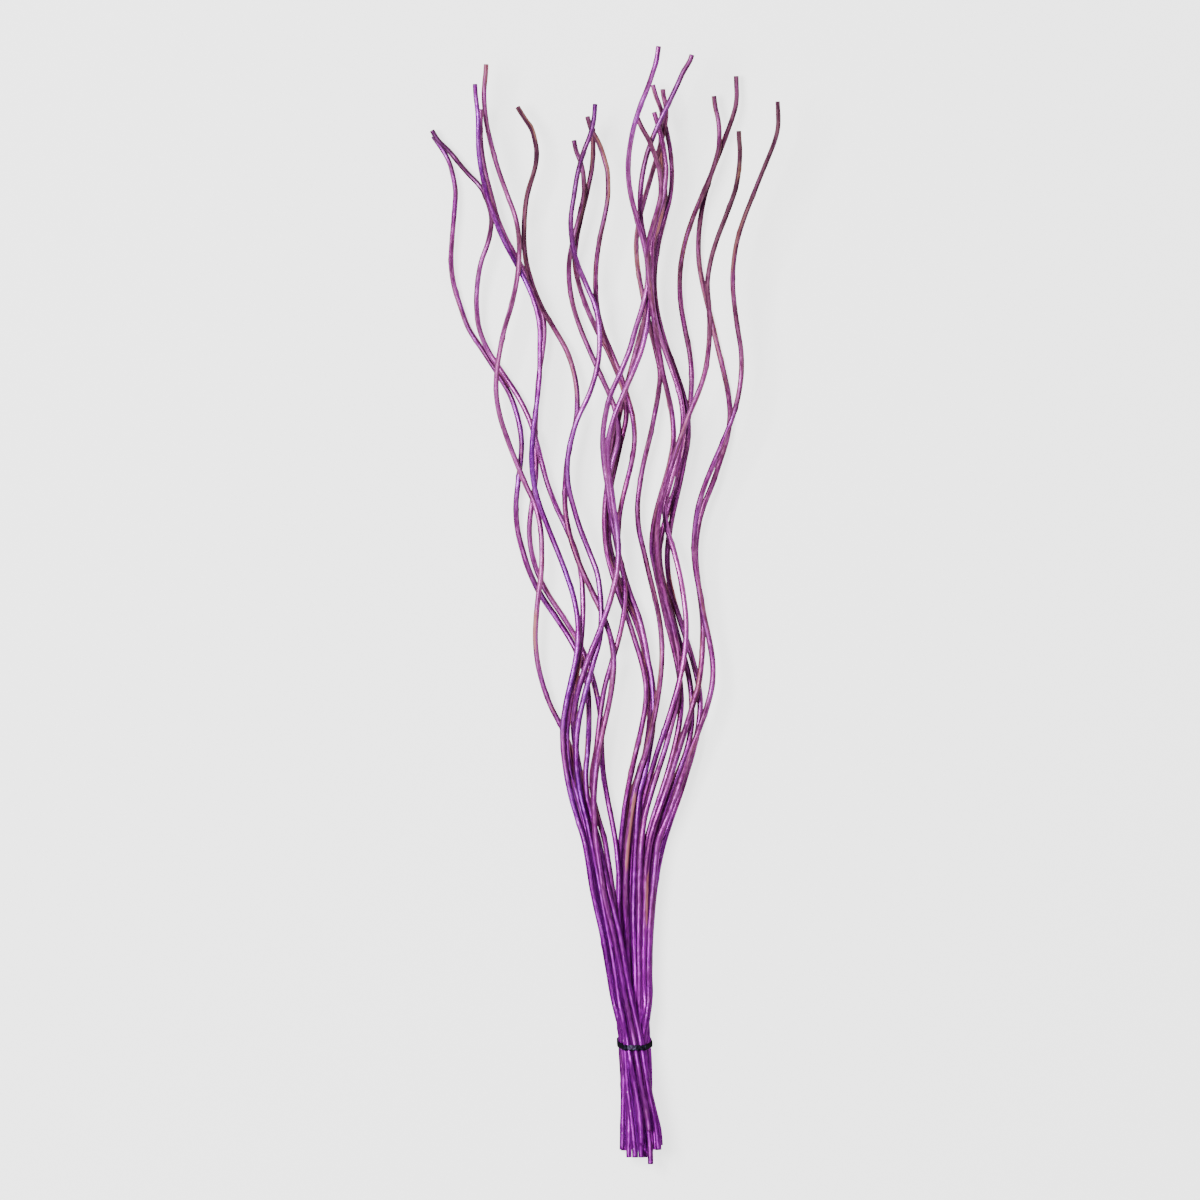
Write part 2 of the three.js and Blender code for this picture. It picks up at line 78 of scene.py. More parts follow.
def caneLine(name):
    # rings of the solid, from the cut end to the tip: centre and radius of each
    bm = bmesh.new()
    bm.from_mesh(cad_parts[name].data)
    bmesh.ops.remove_doubles(bm, verts=bm.verts, dist=weldReach)
    corners = sorted((v.co.copy() for v in bm.verts), key=lambda co: co.y)
    bm.free()
    line = []
    for start in range(0, len(corners), caneSides):
        ring = corners[start:start + caneSides]
        centre = sum(ring, Vector()) / caneSides
        radius = sum((corner - centre).length for corner in ring) / caneSides
        line.append((centre, radius))
    return line


def smoothLine(line, step):
    # even steps along a rounded curve through the ring centres: centre, radius, way on, distance
    fine = []
    last = len(line) - 1
    for k in range(last):
        before = line[max(k - 1, 0)][0]
        here, radius = line[k]
        there, nextRadius = line[k + 1]
        after = line[min(k + 2, last)][0]
        parts = max(2, round((there - here).length / step))
        for part in range(parts + (k == last - 1)):
            t = part / parts
            point = 0.5 * (2 * here + (there - before) * t
                           + (2 * before - 5 * here + 4 * there - after) * t * t
                           + (3 * here - before - 3 * there + after) * t * t * t)
            fine.append((point, radius + (nextRadius - radius) * t))
    out = []
    gone = 0.0
    for k, (point, radius) in enumerate(fine):
        if k:
            gone += (point - fine[k - 1][0]).length
        way = fine[min(k + 1, len(fine) - 1)][0] - fine[max(k - 1, 0)][0]
        out.append((point, radius, way.normalized(), gone))
    return out


caneBuild = {
    "sides": 16,
    "step": 0.0024,
    "plumpness": 1.02,
    "endBevel": 0.0005,
    "endSegments": 2,
    "seedShift": 7.3,
}

# waves across the bark (round the cane, along it), and how high they stand
ridgeShape = {"height": 0.00010, "broad": (1.6, 55), "broadShare": 1.5, "fine": (4.5, 30),
              "fineShift": 3}

# the small swellings where buds sat
kneeShape = {
    "height": 0.00050,
    "first": (0.012, 0.03),
    "spacing": (0.026, 0.048),
    "tipClear": 0.006,
    "size": (0.55, 1.0),
    "turn": 2.4,
    "length": 0.0021,
    "reach": 3,
    "swell": 0.22,
    "swellFade": 0.35,
    "bud": 0.9,
    "budFade": 3.2,
}

# how thick the paint lies (0 bare bark, 1 full cover), how blue it is (0 magenta, 1 violet),
# how pale it is half way up, and how brown the tip has dried
caneLooks = {
    "stem_01": {"paint": 1.00, "blue": 0.40, "pale": 0.85, "dry": 1.00},
    "stem_02": {"paint": 0.75, "blue": 0.50, "pale": 0.15, "dry": 0.00},
    "stem_03": {"paint": 0.95, "blue": 0.65, "pale": 0.10, "dry": 0.05},
    "stem_04": {"paint": 0.82, "blue": 0.30, "pale": 0.95, "dry": 0.30},
    "stem_05": {"paint": 0.65, "blue": 0.25, "pale": 0.95, "dry": 0.00},
    "stem_06": {"paint": 0.50, "blue": 0.20, "pale": 0.00, "dry": 0.70},
    "stem_07": {"paint": 0.68, "blue": 0.30, "pale": 0.60, "dry": 0.30},
    "stem_08": {"paint": 0.60, "blue": 0.15, "pale": 0.00, "dry": 0.30},
    "stem_09": {"paint": 0.52, "blue": 0.10, "pale": 0.10, "dry": 0.35},
    "stem_10": {"paint": 1.00, "blue": 0.75, "pale": 0.60, "dry": 1.00},
    "stem_11": {"paint": 0.58, "blue": 0.18, "pale": 0.00, "dry": 0.00},
    "stem_12": {"paint": 0.68, "blue": 0.25, "pale": 0.55, "dry": 0.00},
    "stem_13": {"paint": 0.90, "blue": 0.20, "pale": 1.00, "dry": 0.15},
    "stem_14": {"paint": 0.88, "blue": 0.55, "pale": 1.00, "dry": 0.00},
    "stem_15": {"paint": 0.30, "blue": 0.10, "pale": 0.30, "dry": 0.20},
    "stem_16": {"paint": 0.38, "blue": 0.20, "pale": 0.00, "dry": 0.00},
    "stem_17": {"paint": 0.85, "blue": 0.50, "pale": 0.60, "dry": 0.60},
    "stem_18": {"paint": 0.64, "blue": 0.28, "pale": 0.25, "dry": 0.45},
    "stem_19": {"paint": 0.50, "blue": 0.15, "pale": 0.20, "dry": 0.50},
    "stem_20": {"paint": 0.60, "blue": 0.15, "pale": 0.00, "dry": 0.90},
    "stem_21": {"paint": 0.50, "blue": 0.25, "pale": 0.00, "dry": 0.80},
}

# stretches rubbed down to bare wood: from and to along the bundle, and where they face
# (-1 left, 0 up, 1 right)
wornStretches = {
    "stem_01": ((0.310, 0.350, 0.6),),
    "stem_05": ((0.340, 0.395, -0.6), (0.285, 0.310, 0.8)),
    "stem_06": ((0.800, 0.850, 0.8),),
    "stem_08": ((0.745, 0.825, 0.7),),
    "stem_09": ((0.565, 0.605, -0.8),),
    "stem_12": ((0.380, 0.435, 0.9),),
    "stem_15": ((0.190, 0.220, 0.0), (0.715, 0.752, 0.0), (0.775, 0.810, 0.0)),
    "stem_16": ((0.145, 0.228, 0.6), (0.682, 0.716, 0.8)),
    "stem_18": ((0.498, 0.531, 0.3),),
    "stem_19": ((0.090, 0.165, 0.9),),
    "stem_20": ((0.760, 0.798, 0.5),),
}

wornEdge = {"fade": 0.022, "low": 0.55, "high": 1.0}

# how the paint was sprayed: which sides of the bark other canes kept it from; the same hidden
# share also places painted shade and painted bounce light between canes
sprayReach = {"distance": 0.030, "lift": 0.0006, "everyRings": 3, "acrossLeans": (0.7, 1.5),
              "alongLean": 1.2}


def bundleHull():
    # every cane's solid in one search tree, to find which sides lie hidden in the bundle
    corners = []
    faces = []
    for name in caneLooks:
        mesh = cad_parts[name].data
        start = len(corners)
        corners += [v.co.copy() for v in mesh.vertices]
        faces += [[start + k for k in face.vertices] for face in mesh.polygons]
    return BVHTree.FromPolygons(corners, faces)


def hiddenShare(hull, point, out, way):
    # part of the open side that other canes block at one point of the bark
    side = out.cross(way).normalized()
    looks = [out]
    for lean in sprayReach["acrossLeans"]:
        for across in (side, -side):
            looks.append((out + across * lean).normalized())
    for onward in (way, -way):
        looks.append((out + onward * sprayReach["alongLean"]).normalized())
    start = point + out * sprayReach["lift"]
    blocked = 0
    for look in looks:
        if hull.ray_cast(start, look, sprayReach["distance"])[0] is not None:
            blocked += 1
    return blocked / len(looks)


def turnsAlong(stations):
    # upright frames carried along the cane without twisting
    side = Vector((1, 0, 0))
    frames = []
    for point, radius, way, gone in stations:
        side = (side - way * side.dot(way)).normalized()
        up = way.cross(side)
        turn = Matrix((side, up, way)).transposed().to_4x4()
        frames.append(Matrix.Translation(point) @ turn @ Matrix.Scale(radius, 4))
    return frames


def kneesOf(length, draw):
    # distance along the cane, turn round it and size of each knee
    knees = []
    place = draw.uniform(*kneeShape["first"])
    turn = draw.uniform(0, 2 * math.pi)
    while place < length - kneeShape["tipClear"]:
        knees.append((place, turn, draw.uniform(*kneeShape["size"])))
        place += draw.uniform(*kneeShape["spacing"])
        turn += kneeShape["turn"]
    return knees


def wave(angle, gone, shape, shift):
    across, onward = shape
    return noise.noise(Vector((math.cos(angle) * across, math.sin(angle) * across,
                               gone * onward + shift)))


def barkRise(angle, gone, knees, seed):
    # height of the bark over the plain round cane
    rise = wave(angle, gone, ridgeShape["broad"], seed) * ridgeShape["broadShare"]
    rise += wave(angle, gone, ridgeShape["fine"], seed * ridgeShape["fineShift"])
    rise *= ridgeShape["height"]
    for place, turn, size in knees:
        off = (gone - place) / kneeShape["length"]
        if abs(off) < kneeShape["reach"]:
            swell = kneeShape["swell"] * math.exp(-off * off * kneeShape["swellFade"])
            facing = math.exp(kneeShape["budFade"] * (math.cos(angle - turn) - 1))
            bud = kneeShape["bud"] * math.exp(-off * off) * facing
            rise += kneeShape["height"] * size * (swell + bud)
    return rise


def wornAt(name, point, out):
    # how far the bark is rubbed off at one point, from 0 to 1
    most = 0.0
    for start, end, facing in wornStretches.get(name, ()):
        inside = min(point.y - start, end - point.y) / wornEdge["fade"]
        turned = out.dot(Vector((facing, 0, 1)).normalized()) - wornEdge["low"]
        turned /= wornEdge["high"] - wornEdge["low"]
        most = max(most, min(inside, turned, 1.0))
    return most


def makeCane(name, hull, seed):
    draw = random.Random(seed)
    stations = smoothLine(caneLine(name), caneBuild["step"])
    frames = turnsAlong(stations)
    length = stations[-1][3]
    knees = kneesOf(length, draw)
    bm = bmesh.new()
    place = bm.verts.layers.float_vector.new("barkPlace")
    shelter = bm.verts.layers.float.new("shelter")
    along = bm.verts.layers.float.new("along")
    upper = bm.verts.layers.float.new("upper")
    worn = bm.verts.layers.float.new("worn")
    made = bmesh.ops.create_circle(bm, cap_ends=True, segments=caneBuild["sides"],
                                   radius=caneBuild["plumpness"])
    ring = made["verts"]
    angles = {v: math.atan2(v.co.y, v.co.x) for v in ring}
    bmesh.ops.transform(bm, matrix=frames[0], verts=ring)
    edges = list(bm.edges)
    rings = [[(v, angles[v]) for v in ring]]
    for k in range(1, len(frames)):
        grown = bmesh.ops.extrude_edge_only(bm, edges=edges)["geom"]
        newVerts = [g for g in grown if isinstance(g, bmesh.types.BMVert)]
        edges = [g for g in grown if isinstance(g, bmesh.types.BMEdge)
                 and g.verts[0] in newVerts and g.verts[1] in newVerts]
        bmesh.ops.transform(bm, matrix=frames[k] @ frames[k - 1].inverted(), verts=newVerts)
        back = frames[k].inverted()
        rings.append([(v, math.atan2((back @ v.co).y, (back @ v.co).x)) for v in newVerts])
    bmesh.ops.contextual_create(bm, geom=edges)
    bmesh.ops.recalc_face_normals(bm, faces=bm.faces)
    every = sprayReach["everyRings"]
    hidden = {}
    for k, ring in enumerate(rings):
        centre, radius, way, gone = stations[k]
        for v, angle in ring:
            slot = round(angle / (2 * math.pi) * caneBuild["sides"]) % caneBuild["sides"]
            out = (v.co - centre).normalized()
            if k % every == 0 or slot not in hidden:
                hidden[slot] = hiddenShare(hull, v.co, out, way)
            v[shelter] = hidden[slot]
            v[along] = gone / length
            v[upper] = out.z
            v[worn] = wornAt(name, v.co, out)
            v[place] = Vector((math.cos(angle) * radius, math.sin(angle) * radius, gone + seed))
            v.co += out * barkRise(angle, gone, knees, seed * caneBuild["seedShift"])
            v.co.z = max(v.co.z, 0.0)  # nothing reaches under the table
    rims = [e for e in bm.edges if any(len(f.verts) > 4 for f in e.link_faces)]
    bmesh.ops.bevel(bm, geom=rims, offset=caneBuild["endBevel"], offset_type="OFFSET",
                    segments=caneBuild["endSegments"], profile=0.5, affect="EDGES", material=-1)
    piece = newPiece("cane_" + name[-2:], bm)
    smoothPiece(piece)
    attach(piece, "root")
    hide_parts(name)
    return piece


paintShades = {
    "magenta": (0.165, 0.0065, 0.135, 1),
    "magentaGlow": (0.36, 0.055, 0.305, 1),
    "violet": (0.100, 0.003, 0.180, 1),
    "violetGlow": (0.26, 0.036, 0.46, 1),
    "butt": (0.092, 0.001, 0.122, 1),
    "buttGlow": (0.185, 0.008, 0.232, 1),
    "bloom": (0.57, 0.140, 0.48, 1),
    # painted bounce light: a bright purple for the crevices low in the bundle
    "valleyBounceLight": (0.62, 0.006, 0.74, 1),
    "glint": (0.80, 0.420, 0.80, 1),
    "bark": (0.076, 0.019, 0.050, 1),
    "barkGlow": (0.185, 0.062, 0.118, 1),
    "wood": (0.68, 0.300, 0.290, 1),
    "rubbedWood": (0.38, 0.150, 0.130, 1),
    # fibre groove tint: grain with painted shade in the grooves
    "fibreGrainShadeTint": (0.52, 0.29, 0.50, 1),
    # painted shade tint for the flanks turned from the light
    "flankShadeTint": (0.50, 0.24, 0.50, 1),
    # painted shade tint between canes that lie together
    "betweenShadeTint": (0.50, 0.29, 0.52, 1),
    "dryTint": (0.46, 0.62, 0.44, 1),
}

# noises on the bark: scale, how far it is drawn out along the cane (1 not at all), detail
barkNoises = {
    "streaks": (500, 0.05, 3),
    "strands": (430, 0.03, 2),
    "fibres": (2100, 0.035, 2),
    "patches": (150, 0.22, 4),
    "flecks": (900, 0.6, 2),
    "specks": (1300, 0.5, 1),
    "mottle": (380, 0.35, 3),
    "drift": (10, 1.0, 2),
}
noiseRoughness = 0.6

# where the paint changes: start and end of the change, value before it and value after it
paintRanges = {
    "upward": (0.14, 0.42, 0.0, 1.0),
    "tipThins": (0.58, 0.96, 0.0, 0.50),
    "dryThins": (0.0, 1.0, 0.7, 1.4),
    "blueThins": (0.2, 0.8, 1.0, 0.2),
    # paint lost down the flanks, which also paints shade on the sides turned from the light
    "flankThinsAndShade": (0.15, 0.85, 0.75, 0.0),
    "patchy": (0.3, 0.7, -0.28, 0.28),
    "dippedMore": (0.20, 0.42, 0.35, 0.0),
    "grainy": (0.3, 0.7, -0.22, 0.22),
    "frayed": (0.3, 0.7, -0.16, 0.16),
    "bare": (0.64, 0.82, 0.0, 0.75),
    "pastDip": (0.26, 0.40, 0.0, 1.0),
    "ragged": (0.3, 0.7, -0.28, 0.28),
    "rubbed": (0.30, 0.80, 0.0, 0.9),
    "skipped": (0.55, 0.67, 0.0, 0.50),
    "coverSkips": (0.5, 1.0, 1.0, 0.3),
    "lively": (0.43, 0.57, 0.0, 1.0),
    "nook": (0.30, 0.75, 0.0, 1.0),
    "drifts": (0.35, 0.65, -0.30, 0.30),
    "paleStarts": (0.38, 0.52, 0.0, 1.0),
    "paleEnds": (0.86, 1.00, 1.0, 0.4),
    "paleStreaks": (0.30, 0.58, 0.10, 0.60),
    "sparkle": (0.68, 0.78, 0.0, 0.55),
    # fibreGrainShade darkens the fibre grooves: grain with painted shade
    "fibreGrainShade": (0.32, 0.60, 0.80, 0.0),
    # how far the open flanks are darkened as painted shade
    "flankShade": (0.10, 0.80, 0.80, 0.0),
    # where painted shade falls between canes that lie together
    "between": (0.08, 0.38, 0.0, 1.0),
    "betweenStreaks": (0.42, 0.60, 1.0, 0.15),
    "dried": (0.80, 0.95, 0.0, 1.0),
    "satin": (0.3, 0.7, 0.28, 0.46),
    "dullBark": (0.0, 0.6, 0.22, 0.0),
}

# nookBounceBlue: how much bluer the nooks are painted, a painted tint of bounced light
paintShares = {"buttFlank": 0.25, "streaks": 0.55, "mottle": 0.45, "nookBounceBlue": 0.20,
               "streakHeight": 0.65, "fibreHeight": 0.35}


def willowBarkGroup():
    tree = bpy.data.node_groups.new("willowBark", "ShaderNodeTree")
    inputs = {"place": "NodeSocketVector"}
    for name in ("shelter", "along", "upper", "worn", "paint", "blue", "pale", "dry"):
        inputs[name] = "NodeSocketFloat"
    for name in paintShades:
        inputs[name] = "NodeSocketColor"
    outputs = {"colour": "NodeSocketColor", "painted": "NodeSocketFloat",
               "roughness": "NodeSocketFloat", "height": "NodeSocketFloat"}
    for name, kind in inputs.items():
        tree.interface.new_socket(name=name, in_out="INPUT", socket_type=kind)
    for name, kind in outputs.items():
        tree.interface.new_socket(name=name, in_out="OUTPUT", socket_type=kind)
    link = tree.links.new
    given = node(tree, "NodeGroupInput", (-1400, 0)).outputs
    result = node(tree, "NodeGroupOutput", (1300, 0)).inputs

    def grain(name, place):
        scale, onward, detail = barkNoises[name]
        spread = node(tree, "ShaderNodeMapping", (place[0] - 200, place[1]))
        spread.inputs["Scale"].default_value = (1, 1, onward)
        link(given["place"], spread.inputs["Vector"])
        made = node(tree, "ShaderNodeTexNoise", place)
        made.inputs["Scale"].default_value = scale
        made.inputs["Detail"].default_value = detail
        made.inputs["Roughness"].default_value = noiseRoughness
        link(spread.outputs["Vector"], made.inputs["Vector"])
        return made.outputs["Fac"]

    def sums(kind, first, second, place, clampIt=False):
        made = node(tree, "ShaderNodeMath", place, operation=kind, use_clamp=clampIt)
        for socket, value in zip(made.inputs, (first, second)):
            if isinstance(value, (int, float)):
                socket.default_value = value
            else:
                link(value, socket)
        return made.outputs[0]

    def ranged(name, value, place):
        made = node(tree, "ShaderNodeMapRange", place, interpolation_type="SMOOTHSTEP")
        for key, number in zip(rangeSockets, paintRanges[name]):
            made.inputs[key].default_value = number
        link(value, made.inputs["Value"])
        return made.outputs["Result"]

    def blend(amount, first, second, place, kind="MIX"):
        made = node(tree, "ShaderNodeMix", place, data_type="RGBA", blend_type=kind)
        link(amount, made.inputs["Factor"])
        link(first, made.inputs["A"])
        link(second, made.inputs["B"])
        return made.outputs["Result"]

    streaks = grain("streaks", (-900, 500))
    strands = grain("strands", (-900, 1750))
    fibres = grain("fibres", (-900, 250))
    patches = grain("patches", (-900, 0))
    flecks = grain("flecks", (-900, -250))
    specks = grain("specks", (-900, 1000))
    mottle = grain("mottle", (-900, 1250))
    drift = grain("drift", (-900, 1500))

    # the paint thins out towards the tip, down the flanks and in long patches; the loss down the
    # flanks also darkens the sides as painted shade
    upward = ranged("upward", given["along"], (-600, 900))
    thin = ranged("tipThins", given["along"], (-600, -100))
    thin = sums("MULTIPLY", thin, ranged("dryThins", given["dry"], (-600, -130)), (-550, -100))
    thin = sums("MULTIPLY", thin, ranged("blueThins", given["blue"], (-600, -160)), (-500, -100))
    cover = sums("SUBTRACT", given["paint"], thin, (-400, -100))
    # the flank loss below is partly thinner paint, partly painted shade on the sides
    flank = sums("ADD", upward, paintShares["buttFlank"], (-480, -300), True)
    flank = sums("MULTIPLY", ranged("flankThinsAndShade", given["upper"], (-600, -220)), flank,
                 (-420, -220))
    cover = sums("SUBTRACT", cover, flank, (-320, -160))
    cover = sums("ADD", cover, ranged("patchy", patches, (-600, 60)), (-250, 0))
    # the dipped cut ends took more of it
    cover = sums("ADD", cover, ranged("dippedMore", given["along"], (-400, -20)), (-180, -20))
    cover = sums("ADD", cover, ranged("grainy", streaks, (-600, 300)), (-100, 0), True)
    # sides turned into the bundle got hardly any paint, but for the dipped cut ends
    frayed = ranged("frayed", patches, (-600, -350))
    shade = sums("ADD", given["shelter"], frayed, (-400, -350))
    pastDip = ranged("pastDip", given["along"], (-250, -480))
    bare = sums("MULTIPLY", ranged("bare", shade, (-250, -350)), pastDip, (-100, -400))
    ragged = sums("ADD", frayed, ranged("ragged", streaks, (-400, -640)), (-250, -640))
    ragged = sums("ADD", given["worn"], ragged, (-250, -560))
    rubbed = ranged("rubbed", ragged, (-100, -560))

    # thin tan lines of bark that the paint skipped
    skipped = sums("MULTIPLY", ranged("skipped", strands, (-400, -800)), upward, (-250, -800))
    skipped = sums("MULTIPLY", skipped, ranged("coverSkips", given["paint"], (-400, -900)),
                   (-100, -800))
    tan = sums("MAXIMUM", rubbed, skipped, (0, -700))

    # the paint drifts between magenta and violet, and is painted bluer where canes lie together, a
    # painted tint of light bounced between them
    lively = sums("ADD", sums("MULTIPLY", streaks, paintShares["streaks"], (-720, 560)),
                  sums("MULTIPLY", mottle, paintShares["mottle"], (-720, 640)), (-660, 600))
    lively = ranged("lively", lively, (-600, 520))
    nook = ranged("nook", given["shelter"], (-250, -620))
    blue = sums("ADD", given["blue"], ranged("drifts", drift, (-600, 1900)), (-400, 1900))
    blue = sums("ADD", blue, sums("MULTIPLY", nook, paintShares["nookBounceBlue"], (-400, 2050)),
                (-250, 1900), True)
    deep = blend(blue, given["magenta"], given["violet"], (-320, 860))
    glow = blend(blue, given["magentaGlow"], given["violetGlow"], (-320, 660))
    deep = blend(upward, given["butt"], deep, (-200, 760))
    glow = blend(upward, given["buttGlow"], glow, (-200, 560))
    paint = blend(lively, deep, glow, (0, 400))
    # paler from half way up to near the tip
    midway = sums("MULTIPLY", ranged("paleStarts", given["along"], (-600, 1300)),
                  ranged("paleEnds", given["along"], (-600, 1500)), (-400, 1400))
    midway = sums("MULTIPLY", midway, given["pale"], (-250, 1400))
    midway = sums("MULTIPLY", midway, ranged("paleStreaks", streaks, (-600, 1700)),
                  (-100, 1400), True)
    paint = blend(midway, paint, given["bloom"], (40, 600))
    # low in the bundle, a bright purple is painted between canes that lie together: painted bounce
    # light lifting the shade in the crevices
    dippedPart = sums("SUBTRACT", 1.0, upward, (-250, -760), True)
    bounceLight = sums("MULTIPLY", nook, dippedPart, (-100, -620))
    paint = blend(bounceLight, paint, given["valleyBounceLight"], (60, 500))
    # pale specks painted in as glints: painted highlights
    paint = blend(ranged("sparkle", specks, (-600, 1100)), paint, given["glint"], (90, 400))

    raw = blend(lively, given["bark"], given["barkGlow"], (0, 560))
    colour = blend(cover, raw, paint, (180, 200))
    colour = blend(bare, colour, given["wood"], (300, 200))
    colour = blend(tan, colour, given["rubbedWood"], (400, 200))
    # darker in the grooves between fibres, partly grain and partly painted shade in the grooves,
    # then painted shade down the open flanks
    colour = blend(ranged("fibreGrainShade", fibres, (-600, 760)), colour, given["fibreGrainShadeTint"],
                   (540, 200), "MULTIPLY")
    # painted shade: the open flanks, turned from the light, are darkened
    openPart = sums("SUBTRACT", 1.0, nook, (400, 520), True)
    side = sums("MULTIPLY", ranged("flankShade", given["upper"], (540, 420)), openPart, (640, 420))
    colour = blend(side, colour, given["flankShadeTint"], (740, 200), "MULTIPLY")
    # higher up, painted shade darkens the paint between canes that lie together, all but the
    # raised streaks, which stay light
    low = sums("MULTIPLY", ranged("between", given["shelter"], (500, 720)),
               ranged("betweenStreaks", streaks, (500, 620)), (700, 620))
    low = sums("MULTIPLY", low, upward, (780, 620))
    colour = blend(low, colour, given["betweenShadeTint"], (860, 200), "MULTIPLY")
    # and browner at a dried tip
    dried = sums("MULTIPLY", ranged("dried", given["along"], (540, 620)), given["dry"],
                 (740, 520))
    colour = blend(dried, colour, given["dryTint"], (1020, 200), "MULTIPLY")
    link(colour, result["colour"])

    stay = sums("SUBTRACT", 1.0, sums("MAXIMUM", bare, tan, (-80, -300)), (0, -300), True)
    link(sums("MULTIPLY", cover, stay, (180, -200)), result["painted"])
    dull = ranged("dullBark", cover, (180, -420))
    link(sums("ADD", ranged("satin", flecks, (180, -320)), dull, (360, -320), True),
         result["roughness"])
    relief = sums("ADD", sums("MULTIPLY", streaks, paintShares["streakHeight"], (180, -500)),
                  sums("MULTIPLY", fibres, paintShares["fibreHeight"], (180, -650)), (360, -500))
    link(relief, result["height"])
    return tree


caneFinish = {"metal": 0.95, "relief": 0.00045, "bump": 0.8, "specular": 0.04,
              "specularTint": (0.28, 0.04, 0.24, 1)}


def caneMaterial(name, look, bark):
    material, tree, shader = newMaterial("willow_" + name[-2:])
    link = tree.links.new
    inside = node(tree, "ShaderNodeGroup", (-300, 0), node_tree=bark)
    reader = node(tree, "ShaderNodeAttribute", (-600, 0), attribute_name="barkPlace")
    link(reader.outputs["Vector"], inside.inputs["place"])
    for attribute in ("shelter", "along", "upper", "worn"):
        reader = node(tree, "ShaderNodeAttribute", (-600, 0), attribute_name=attribute)
        link(reader.outputs["Fac"], inside.inputs[attribute])
    for key, value in {**look, **paintShades}.items():
        inside.inputs[key].default_value = value
    link(inside.outputs["colour"], shader.inputs["Base Color"])
    link(inside.outputs["roughness"], shader.inputs["Roughness"])
    shine = node(tree, "ShaderNodeMath", (-80, -150), operation="MULTIPLY")
    shine.inputs[1].default_value = caneFinish["metal"]
    link(inside.outputs["painted"], shine.inputs[0])
    link(shine.outputs[0], shader.inputs["Metallic"])
    bump = node(tree, "ShaderNodeBump", (-80, -350))
    bump.inputs["Distance"].default_value = caneFinish["relief"]
    bump.inputs["Strength"].default_value = caneFinish["bump"]
    link(inside.outputs["height"], bump.inputs["Height"])
    link(bump.outputs["Normal"], shader.inputs["Normal"])
    shader.inputs["Specular IOR Level"].default_value = caneFinish["specular"]
    shader.inputs["Specular Tint"].default_value = caneFinish["specularTint"]
    return material


tieBuild = {
    "rounding": 2,
    "flatAngle": 12,   # degrees between triangles that join to one face
    "squareAngle": 40,
}

tieLook = {
    "grooves": 950,
    "grooveWobble": 0.6,
    "grooveDepth": 0.00010,
    "grooveBump": 0.35,
    "wearScale": 420,
    "wearDetail": 3,
    "black": (0.42, (0.0080, 0.0040, 0.0110, 1)),
    "worn": (0.72, (0.0300, 0.0300, 0.0480, 1)),
    "roughness": (0.35, 0.7, 0.14, 0.30),
    "metal": 0.96,
    "specularTint": (0.05, 0.03, 0.07, 1),
}


def makeTie():
    bm = bmesh.new()
    bm.from_mesh(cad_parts["tie"].data)
    bmesh.ops.remove_doubles(bm, verts=bm.verts, dist=weldReach)
    bmesh.ops.join_triangles(bm, faces=bm.faces,
                             angle_face_threshold=math.radians(tieBuild["flatAngle"]),
                             angle_shape_threshold=math.radians(tieBuild["squareAngle"]))
    piece = newPiece("tie_band", bm)
    smoothPiece(piece)
    rounded = piece.modifiers.new("rounded", "SUBSURF")
    rounded.levels = tieBuild["rounding"]
    rounded.render_levels = tieBuild["rounding"]
    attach(piece, "root")
    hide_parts("tie")
    return piece


def tieMaterial():
    # shiny black tape with fine grooves round it and worn paler specks
    material, tree, shader = newMaterial("tie_gloss")
    link = tree.links.new
    coords = node(tree, "ShaderNodeTexCoord", (-1000, 0))
    grooves = node(tree, "ShaderNodeTexWave", (-760, -300), wave_type="BANDS", bands_direction="Y")
    grooves.inputs["Scale"].default_value = tieLook["grooves"]
    grooves.inputs["Distortion"].default_value = tieLook["grooveWobble"]
    link(coords.outputs["Object"], grooves.inputs["Vector"])
    wear = node(tree, "ShaderNodeTexNoise", (-760, 100))
    wear.inputs["Scale"].default_value = tieLook["wearScale"]
    wear.inputs["Detail"].default_value = tieLook["wearDetail"]
    link(coords.outputs["Object"], wear.inputs["Vector"])
    shade = node(tree, "ShaderNodeValToRGB", (-500, 100))
    for stop, key in zip(shade.color_ramp.elements, ("black", "worn")):
        stop.position, stop.color = tieLook[key]
    link(wear.outputs["Fac"], shade.inputs["Fac"])
    link(shade.outputs["Color"], shader.inputs["Base Color"])
    gloss = node(tree, "ShaderNodeMapRange", (-500, -100))
    for key, number in zip(rangeSockets, tieLook["roughness"]):
        gloss.inputs[key].default_value = number
    link(wear.outputs["Fac"], gloss.inputs["Value"])
    link(gloss.outputs["Result"], shader.inputs["Roughness"])
    bump = node(tree, "ShaderNodeBump", (-300, -300))
    bump.inputs["Distance"].default_value = tieLook["grooveDepth"]
    bump.inputs["Strength"].default_value = tieLook["grooveBump"]
    link(grooves.outputs["Fac"], bump.inputs["Height"])
    link(bump.outputs["Normal"], shader.inputs["Normal"])
    shader.inputs["Metallic"].default_value = tieLook["metal"]
    shader.inputs["Specular Tint"].default_value = tieLook["specularTint"]
    return material


tableLook = {"size": 4.0, "shade": (0.50, 0.50, 0.50, 1), "roughness": 0.9, "specular": 0.1,
             "glow": 2.2}


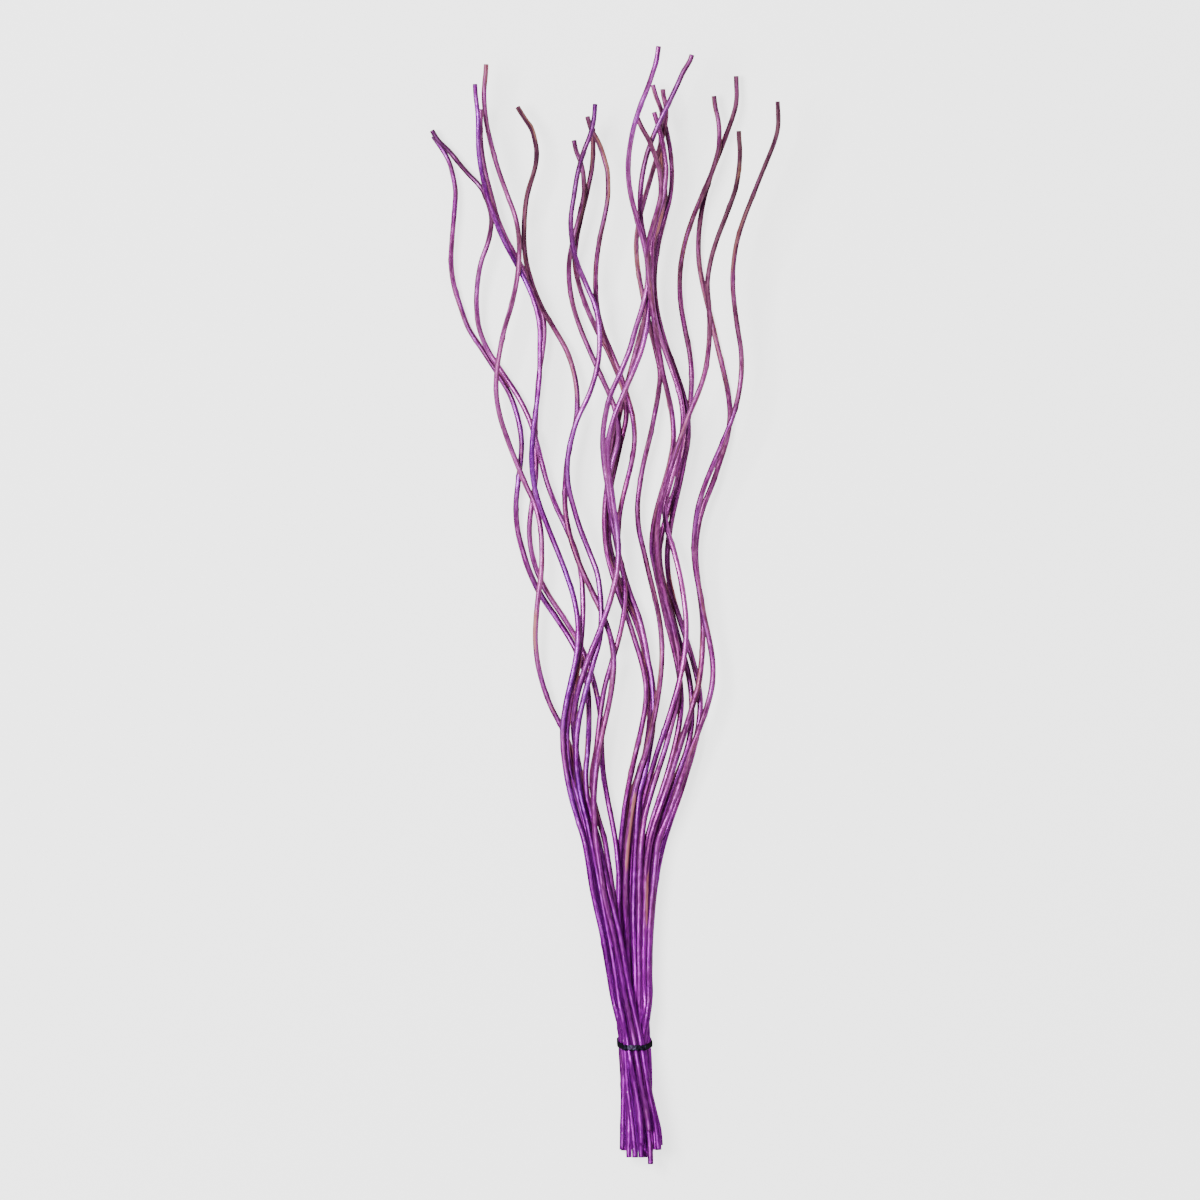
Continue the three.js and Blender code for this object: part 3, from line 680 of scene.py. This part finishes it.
def makeTable():
    bm = bmesh.new()
    bmesh.ops.create_grid(bm, x_segments=1, y_segments=1, size=tableLook["size"])
    table = newPiece("table", bm)
    material, tree, shader = newMaterial("table_white")
    shader.inputs["Base Color"].default_value = tableLook["shade"]
    shader.inputs["Roughness"].default_value = tableLook["roughness"]
    shader.inputs["Specular IOR Level"].default_value = tableLook["specular"]
    shader.inputs["Emission Color"].default_value = (1, 1, 1, 1)
    shader.inputs["Emission Strength"].default_value = tableLook["glow"]
    table.data.materials.append(material)


studio = {
    "world": 0.42,
    "keyPower": 330,
    "keySize": 1.5,
    "keyPlace": (-1.5, 0.9, 3.4),
    "fillPower": 22,
    "fillSize": 2.2,
    "fillPlace": (1.6, 0.0, 2.4),
    "aim": (-0.03, 0.4, 0.0),
}


def softbox(name, power, size, place):
    light = bpy.data.lights.new(name, "AREA")
    light.energy = power
    light.size = size
    lamp = bpy.data.objects.new(name, light)
    lamp.location = place
    towards = Vector(studio["aim"]) - Vector(place)
    lamp.rotation_euler = towards.to_track_quat("-Z", "Y").to_euler()
    bpy.context.scene.collection.objects.link(lamp)


def makeStudio():
    world = bpy.data.worlds.new("studio")
    bpy.context.scene.world = world
    world.use_nodes = True
    world.node_tree.nodes["Background"].inputs["Color"].default_value = (1, 1, 1, 1)
    world.node_tree.nodes["Background"].inputs["Strength"].default_value = studio["world"]
    softbox("key_box", studio["keyPower"], studio["keySize"], studio["keyPlace"])
    softbox("fill_box", studio["fillPower"], studio["fillSize"], studio["fillPlace"])


cameraSet = {"place": (-0.0306, 0.396, 24.03), "lens": 800.0, "sensor": 36.0, "farthest": 40}


def makeCamera():
    camera = bpy.data.cameras.new("camera")
    camera.lens = cameraSet["lens"]
    camera.sensor_width = cameraSet["sensor"]
    camera.clip_end = cameraSet["farthest"]
    holder = bpy.data.objects.new("camera", camera)
    holder.location = cameraSet["place"]
    bpy.context.scene.collection.objects.link(holder)
    bpy.context.scene.camera = holder


makeCamera()
makeStudio()
makeTable()
print("stage is set")

hull = bundleHull()
bark = willowBarkGroup()
for number, (name, look) in enumerate(caneLooks.items()):
    cane = makeCane(name, hull, number + 1)
    cane.data.materials.append(caneMaterial(name, look, bark))
print("canes are grown and painted")

tie = makeTie()
tie.data.materials.append(tieMaterial())
print("tie is on")
